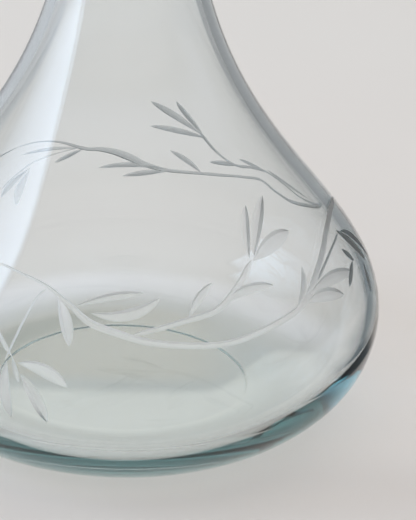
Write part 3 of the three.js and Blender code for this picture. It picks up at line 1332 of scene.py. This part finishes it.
# %% [markdown]
# ## The stopper
# The photograph stops below the neck, so the stopper is a plain one of its kind: a solid glass ball
# on a short waist and collar, and a stem that carries a ribbed silicone sleeve. Balls and tubes
# could be put together, but both pieces are round all over, so each is one line turned like the
# body.

# %% Sizes of the stopper
FIT_GAP = 0.3
SLEEVE_WALL = 2.5
BRIM_THICKNESS = 2.0
BRIM_INSET = 1.0
RIB_COUNT = 3
RIB_PITCH = 5.5
RIB_DEPTH = 2.2
RIB_ROOT = 2.4
RIB_TIP = 1.0
BALL_RADIUS = 24.0
WAIST_RADIUS = 10.0
WAIST_HEIGHT = 4.0
COLLAR_THICKNESS = 5.0
COLLAR_INSET = 2.0
BEAD_GRIP = 1.6
BEAD_HEIGHT = 4.0

brim_bottom = rim_top + FIT_GAP
brim_top = brim_bottom + BRIM_THICKNESS
brim_radius = lip_radius - BRIM_INSET
rib_radius = BORE_RADIUS - FIT_GAP
sleeve_radius = rib_radius - RIB_DEPTH
sleeve_bore = sleeve_radius - SLEEVE_WALL
sleeve_bottom = lip_start - RIB_COUNT * RIB_PITCH
stem_radius = sleeve_bore - FIT_GAP
bead_top = sleeve_bottom - FIT_GAP
bead_radius = stem_radius + BEAD_GRIP
collar_bottom = brim_top + FIT_GAP
collar_top = collar_bottom + COLLAR_THICKNESS
collar_radius = brim_radius - COLLAR_INSET
print("stem", round(2 * stem_radius, 1), "mm across, collar", round(2 * collar_radius, 1), "mm")

# %% Line of the knob
BEAD_END = 60
BEAD_STEPS = 14
ROOT_OUT = 0.4
ROOT_DOWN = 0.1
ROOT_UP = 1.0
COLLAR_EASE = 0.6
EASE_STEPS = 5
COLLAR_STEPS = 18
WAIST_STEPS = 14
BALL_STEPS = 60
END_FINE = 2.0
STEM_FINE = 3.0

bead_round = BEAD_HEIGHT / 2
bead_bottom = bead_top - BEAD_HEIGHT
bead_centre = (bead_radius - bead_round, bead_top - bead_round)
root_top = (stem_radius, bead_top + ROOT_UP)
collar_round = COLLAR_THICKNESS / 2
collar_start = (stem_radius, collar_bottom - COLLAR_EASE)
collar_centre = (collar_radius - collar_round, collar_bottom + collar_round)
waist_top = collar_top + WAIST_HEIGHT
waist_angle = math.degrees(math.acos(WAIST_RADIUS / BALL_RADIUS))
ball_middle = waist_top + BALL_RADIUS * math.sin(math.radians(waist_angle))
stem_root = [(stem_radius + ROOT_OUT, bead_top - ROOT_DOWN), (stem_radius, bead_top), root_top]
collar_foot = [collar_start, (stem_radius, collar_bottom), (stem_radius + COLLAR_EASE, collar_bottom)]
waist = [(collar_centre[0], collar_top), (WAIST_RADIUS, collar_top), (WAIST_RADIUS, waist_top)]
knob_line = np.concatenate([
    straight((0, bead_bottom), (bead_centre[0], bead_bottom), END_FINE),
    arc(bead_centre, bead_round, bead_round, -90, BEAD_END, BEAD_STEPS),
    bend(stem_root, EASE_STEPS),
    straight(root_top, collar_start, STEM_FINE),
    bend(collar_foot, EASE_STEPS),
    arc(collar_centre, collar_round, collar_round, -90, 90, COLLAR_STEPS),
    bend(waist, WAIST_STEPS),
    arc((0, ball_middle), BALL_RADIUS, BALL_RADIUS, -waist_angle, 90, BALL_STEPS),
])
knob_line[-1, 0] = 0.0
print("knob line of", len(knob_line), "points")

# %% Glass knob
knob_skin = Skin()
knob_skin.turn(without_repeats(knob_line))
glass_knob = piece(knob_skin, "glass_knob", knob_glass)
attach(glass_knob, "stopper")
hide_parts("stopper_knob")
print("glass knob:", len(glass_knob.data.polygons), "faces,", open_edges(glass_knob.data), "open edges")

# %% Line of the sleeve
SLEEVE_ROUNDING = 0.9
ROUNDING_SHARE = 0.45


def eased(corners, rounding):
    """A line through corners, each rounded by a small bend."""
    corners = np.array(corners, float)
    line = [corners[0]]
    for before, here, after in zip(corners, corners[1:], corners[2:]):
        into, out = before - here, after - here
        room_for_bend = min(np.linalg.norm(into), np.linalg.norm(out)) * ROUNDING_SHARE
        size = min(rounding, room_for_bend)
        line.extend(bend([here + unit(into) * size, here, here + unit(out) * size], EASE_STEPS))
    line.append(corners[-1])
    return without_repeats(np.array(line))


ribs = []
for number in reversed(range(RIB_COUNT)):
    rib_middle = lip_start - (number + 0.5) * RIB_PITCH
    ribs += [
        (sleeve_radius, rib_middle - RIB_ROOT / 2),
        (rib_radius, rib_middle - RIB_TIP / 2),
        (rib_radius, rib_middle + RIB_TIP / 2),
        (sleeve_radius, rib_middle + RIB_ROOT / 2),
    ]
seam = (sleeve_bore, (sleeve_bottom + brim_top) / 2)
sleeve_corners = [
    seam,
    (sleeve_bore, sleeve_bottom),
    (sleeve_radius, sleeve_bottom),
    *ribs,
    (sleeve_radius, brim_bottom),
    (brim_radius, brim_bottom),
    (brim_radius, brim_top),
    (sleeve_bore, brim_top),
    seam,
]
print("sleeve with", RIB_COUNT, "ribs")

# %% Silicone sleeve
sleeve_skin = Skin()
first_ring, last_ring = sleeve_skin.turn(eased(sleeve_corners, SLEEVE_ROUNDING))
rejoin = {last_ring + side: first_ring + side for side in range(SIDES)}
sleeve_skin.faces = [tuple(rejoin.get(spot, spot) for spot in face) for face in sleeve_skin.faces]
sleeve_skin.points = sleeve_skin.points[:last_ring]
silicone_sleeve = piece(sleeve_skin, "silicone_sleeve", sleeve_silicone)
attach(silicone_sleeve, "stopper")
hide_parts("stopper_sleeve")
print("sleeve:", len(silicone_sleeve.data.polygons), "faces,",
      open_edges(silicone_sleeve.data), "open edges")
